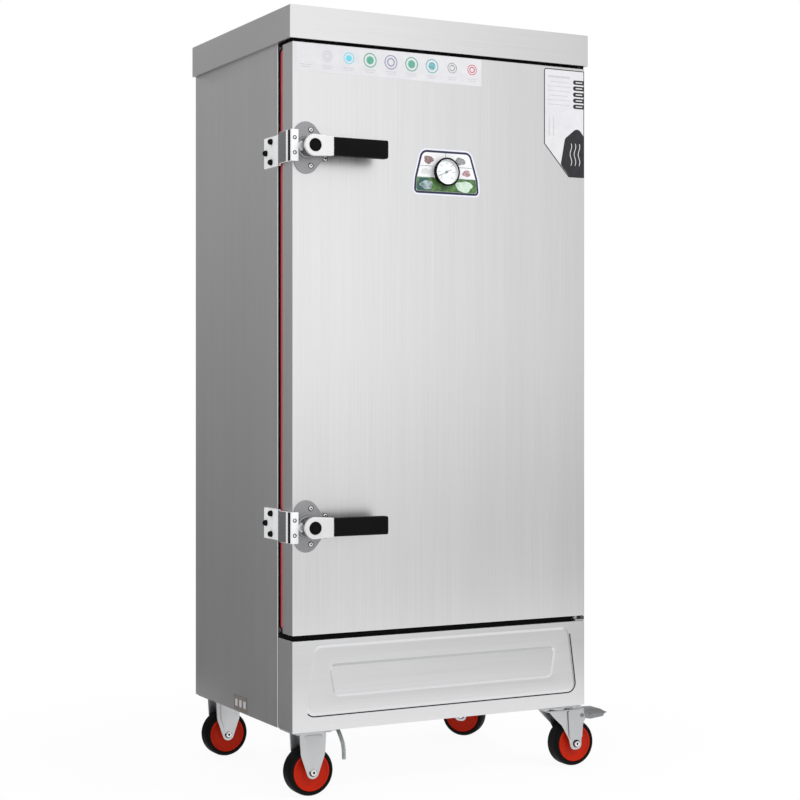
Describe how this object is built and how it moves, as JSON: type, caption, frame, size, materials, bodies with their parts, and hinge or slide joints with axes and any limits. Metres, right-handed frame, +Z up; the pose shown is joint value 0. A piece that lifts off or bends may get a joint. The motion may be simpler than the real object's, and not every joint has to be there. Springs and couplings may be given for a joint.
{
  "type": "food steamer cabinet",
  "caption": "Upright insulated stainless steel steaming cabinet on casters, with one latched side-hinged door and inside racks for trays.",
  "frame": {"origin": "on the floor under the middle of the object's overall width and depth", "axes": "+X to the cabinet's right as seen by someone in front of the door, -Y towards that person, +Z up"},
  "size_m": [0.7922, 0.6396, 1.598],
  "materials": {
    "left_side_panel": "fine brushed stainless sheet",
    "right_side_panel": "fine brushed stainless sheet",
    "back_panel": "fine brushed stainless sheet",
    "top_cap": "fine brushed stainless sheet",
    "front_frame": "fine brushed stainless sheet",
    "water_tank": "fine brushed stainless sheet",
    "liner_left": "fine brushed stainless sheet",
    "liner_right": "fine brushed stainless sheet",
    "liner_top": "fine brushed stainless sheet",
    "liner_back": "fine brushed stainless sheet",
    "insulation": "pale yellow rigid foam",
    "base_frame": "fine brushed stainless sheet",
    "front_base_panel": "fine brushed stainless sheet",
    "left_rack": "fine brushed stainless sheet",
    "right_rack": "fine brushed stainless sheet",
    "baffle_plate": "fine brushed stainless sheet",
    "heating_element": "fine brushed stainless sheet",
    "rear_cover": "fine brushed stainless sheet",
    "cable_gland": "black plastic with a low sheen",
    "water_inlet": "fine brushed stainless sheet",
    "vent_pipe": "fine brushed stainless sheet",
    "drain_hose": "translucent hose",
    "upper_pivot": "fine brushed stainless sheet",
    "lower_pivot": "fine brushed stainless sheet",
    "upper_strike": "bright polished steel",
    "lower_strike": "bright polished steel",
    "front_left_caster_bracket": "bright zinc-plated pressed steel",
    "rear_left_caster_bracket": "bright zinc-plated pressed steel",
    "front_right_caster_plate": "bright zinc-plated pressed steel",
    "rear_right_caster_plate": "bright zinc-plated pressed steel",
    "door_skin": "fine brushed stainless sheet",
    "door_liner": "fine brushed stainless sheet",
    "door_foam": "pale yellow rigid foam",
    "door_gasket": "matt red silicone rubber",
    "upper_latch_base": "bright polished steel",
    "lower_latch_base": "bright polished steel",
    "gauge_case": "black plastic with a low sheen",
    "gauge_dial": "white painted sheet",
    "gauge_glass": "clear flat glass",
    "upper_pivot_bush": "natural white nylon",
    "lower_pivot_bush": "natural white nylon",
    "upper_lever": "bright polished steel",
    "upper_grip": "black plastic with a low sheen",
    "lower_lever": "bright polished steel",
    "lower_grip": "black plastic with a low sheen",
    "gauge_needle": "black plastic with a low sheen",
    "upper_tray": "fine brushed stainless sheet",
    "lower_tray": "fine brushed stainless sheet",
    "front_left_wheel_core": "red moulded plastic",
    "front_left_tyre": "black rubber",
    "rear_left_wheel_core": "red moulded plastic",
    "rear_left_tyre": "black rubber",
    "front_right_fork": "bright zinc-plated pressed steel",
    "front_right_wheel_core": "red moulded plastic",
    "front_right_tyre": "black rubber",
    "front_right_brake_pedal": "bright zinc-plated pressed steel",
    "rear_right_fork": "bright zinc-plated pressed steel",
    "rear_right_wheel_core": "red moulded plastic",
    "rear_right_tyre": "black rubber",
    "rear_right_brake_pedal": "bright zinc-plated pressed steel"
  },
  "bodies": {
    "cabinet": {"left_side_panel": "left_side_panel", "right_side_panel": "right_side_panel", "back_panel": "back_panel", "top_cap": "top_cap", "front_frame": "front_frame", "water_tank": "water_tank", "liner_left": "liner_left", "liner_right": "liner_right", "liner_top": "liner_top", "liner_back": "liner_back", "insulation": "insulation", "base_frame": "base_frame", "front_base_panel": "front_base_panel", "left_rack": "left_rack", "right_rack": "right_rack", "baffle_plate": "baffle_plate", "heating_element": "heating_element", "rear_cover": "rear_cover", "cable_gland": "cable_gland", "water_inlet": "water_inlet", "vent_pipe": "vent_pipe", "drain_hose": "drain_hose", "upper_pivot": "upper_pivot", "lower_pivot": "lower_pivot", "upper_strike": "upper_strike", "lower_strike": "lower_strike", "front_left_caster_bracket": "front_left_caster_bracket", "rear_left_caster_bracket": "rear_left_caster_bracket", "front_right_caster_plate": "front_right_caster_plate", "rear_right_caster_plate": "rear_right_caster_plate"},
    "door": {"door_skin": "door_skin", "door_liner": "door_liner", "door_foam": "door_foam", "door_gasket": "door_gasket", "upper_latch_base": "upper_latch_base", "lower_latch_base": "lower_latch_base", "gauge_case": "gauge_case", "gauge_dial": "gauge_dial", "gauge_glass": "gauge_glass", "upper_pivot_bush": "upper_pivot_bush", "lower_pivot_bush": "lower_pivot_bush"},
    "upper_handle": {"upper_lever": "upper_lever", "upper_grip": "upper_grip"},
    "lower_handle": {"lower_lever": "lower_lever", "lower_grip": "lower_grip"},
    "needle": {"gauge_needle": "gauge_needle"},
    "upper_tray_body": {"upper_tray": "upper_tray"},
    "lower_tray_body": {"lower_tray": "lower_tray"},
    "front_left_wheel": {"front_left_wheel_core": "front_left_wheel_core", "front_left_tyre": "front_left_tyre"},
    "rear_left_wheel": {"rear_left_wheel_core": "rear_left_wheel_core", "rear_left_tyre": "rear_left_tyre"},
    "front_right_swivel": {"front_right_fork": "front_right_fork"},
    "front_right_wheel": {"front_right_wheel_core": "front_right_wheel_core", "front_right_tyre": "front_right_tyre"},
    "front_right_brake": {"front_right_brake_pedal": "front_right_brake_pedal"},
    "rear_right_swivel": {"rear_right_fork": "rear_right_fork"},
    "rear_right_wheel": {"rear_right_wheel_core": "rear_right_wheel_core", "rear_right_tyre": "rear_right_tyre"},
    "rear_right_brake": {"rear_right_brake_pedal": "rear_right_brake_pedal"}
  },
  "joints": [
    {"name": "door_hinge", "type": "hinge", "parent": "cabinet", "child": "door", "pos_m": [0.30822, -0.24328, 0.331], "axis": [0, 0, 1], "range_deg": [0, 170]},
    {"name": "upper_handle_turn", "type": "hinge", "parent": "door", "child": "upper_handle", "pos_m": [-0.35248, -0.26728, 1.3123], "axis": [0, 1, 0], "range_deg": [0, 90]},
    {"name": "lower_handle_turn", "type": "hinge", "parent": "door", "child": "lower_handle", "pos_m": [-0.35248, -0.26728, 0.5505], "axis": [0, 1, 0], "range_deg": [0, 90]},
    {"name": "needle_turn", "type": "hinge", "parent": "door", "child": "needle", "pos_m": [-0.02978, -0.26728, 1.2803], "axis": [0, 1, 0], "range_deg": [-20, 250]},
    {"name": "upper_tray_slide", "type": "slide", "parent": "cabinet", "child": "upper_tray_body", "axis": [0, -1, 0], "range_m": [0, 0.01]},
    {"name": "lower_tray_slide", "type": "slide", "parent": "cabinet", "child": "lower_tray_body", "axis": [0, -1, 0], "range_m": [0, 0.01]},
    {"name": "front_left_wheel_spin", "type": "hinge", "parent": "cabinet", "child": "front_left_wheel", "pos_m": [-0.32628, -0.22478, 0.05], "axis": [0, 1, 0], "continuous": true},
    {"name": "rear_left_wheel_spin", "type": "hinge", "parent": "cabinet", "child": "rear_left_wheel", "pos_m": [-0.32628, 0.22222, 0.05], "axis": [0, 1, 0], "continuous": true},
    {"name": "front_right_swivel_turn", "type": "hinge", "parent": "cabinet", "child": "front_right_swivel", "pos_m": [0.26422, -0.22978, 0.1355], "axis": [0, 0, 1], "continuous": true},
    {"name": "front_right_wheel_spin", "type": "hinge", "parent": "front_right_swivel", "child": "front_right_wheel", "pos_m": [0.30722, -0.22978, 0.05], "axis": [0, 1, 0], "continuous": true},
    {"name": "front_right_brake_press", "type": "hinge", "parent": "front_right_swivel", "child": "front_right_brake", "pos_m": [0.32022, -0.22978, 0.111], "axis": [0, 1, 0], "range_deg": [0, 12]},
    {"name": "rear_right_swivel_turn", "type": "hinge", "parent": "cabinet", "child": "rear_right_swivel", "pos_m": [0.23922, 0.20022, 0.1355], "axis": [0, 0, 1], "continuous": true},
    {"name": "rear_right_wheel_spin", "type": "hinge", "parent": "rear_right_swivel", "child": "rear_right_wheel", "pos_m": [0.26799, 0.16826, 0.05], "axis": [0.7431, 0.6691, 0], "continuous": true},
    {"name": "rear_right_brake_press", "type": "hinge", "parent": "rear_right_swivel", "child": "rear_right_brake", "pos_m": [0.27669, 0.1586, 0.111], "axis": [0.7431, 0.6691, 0], "range_deg": [0, 12]}
  ]
}
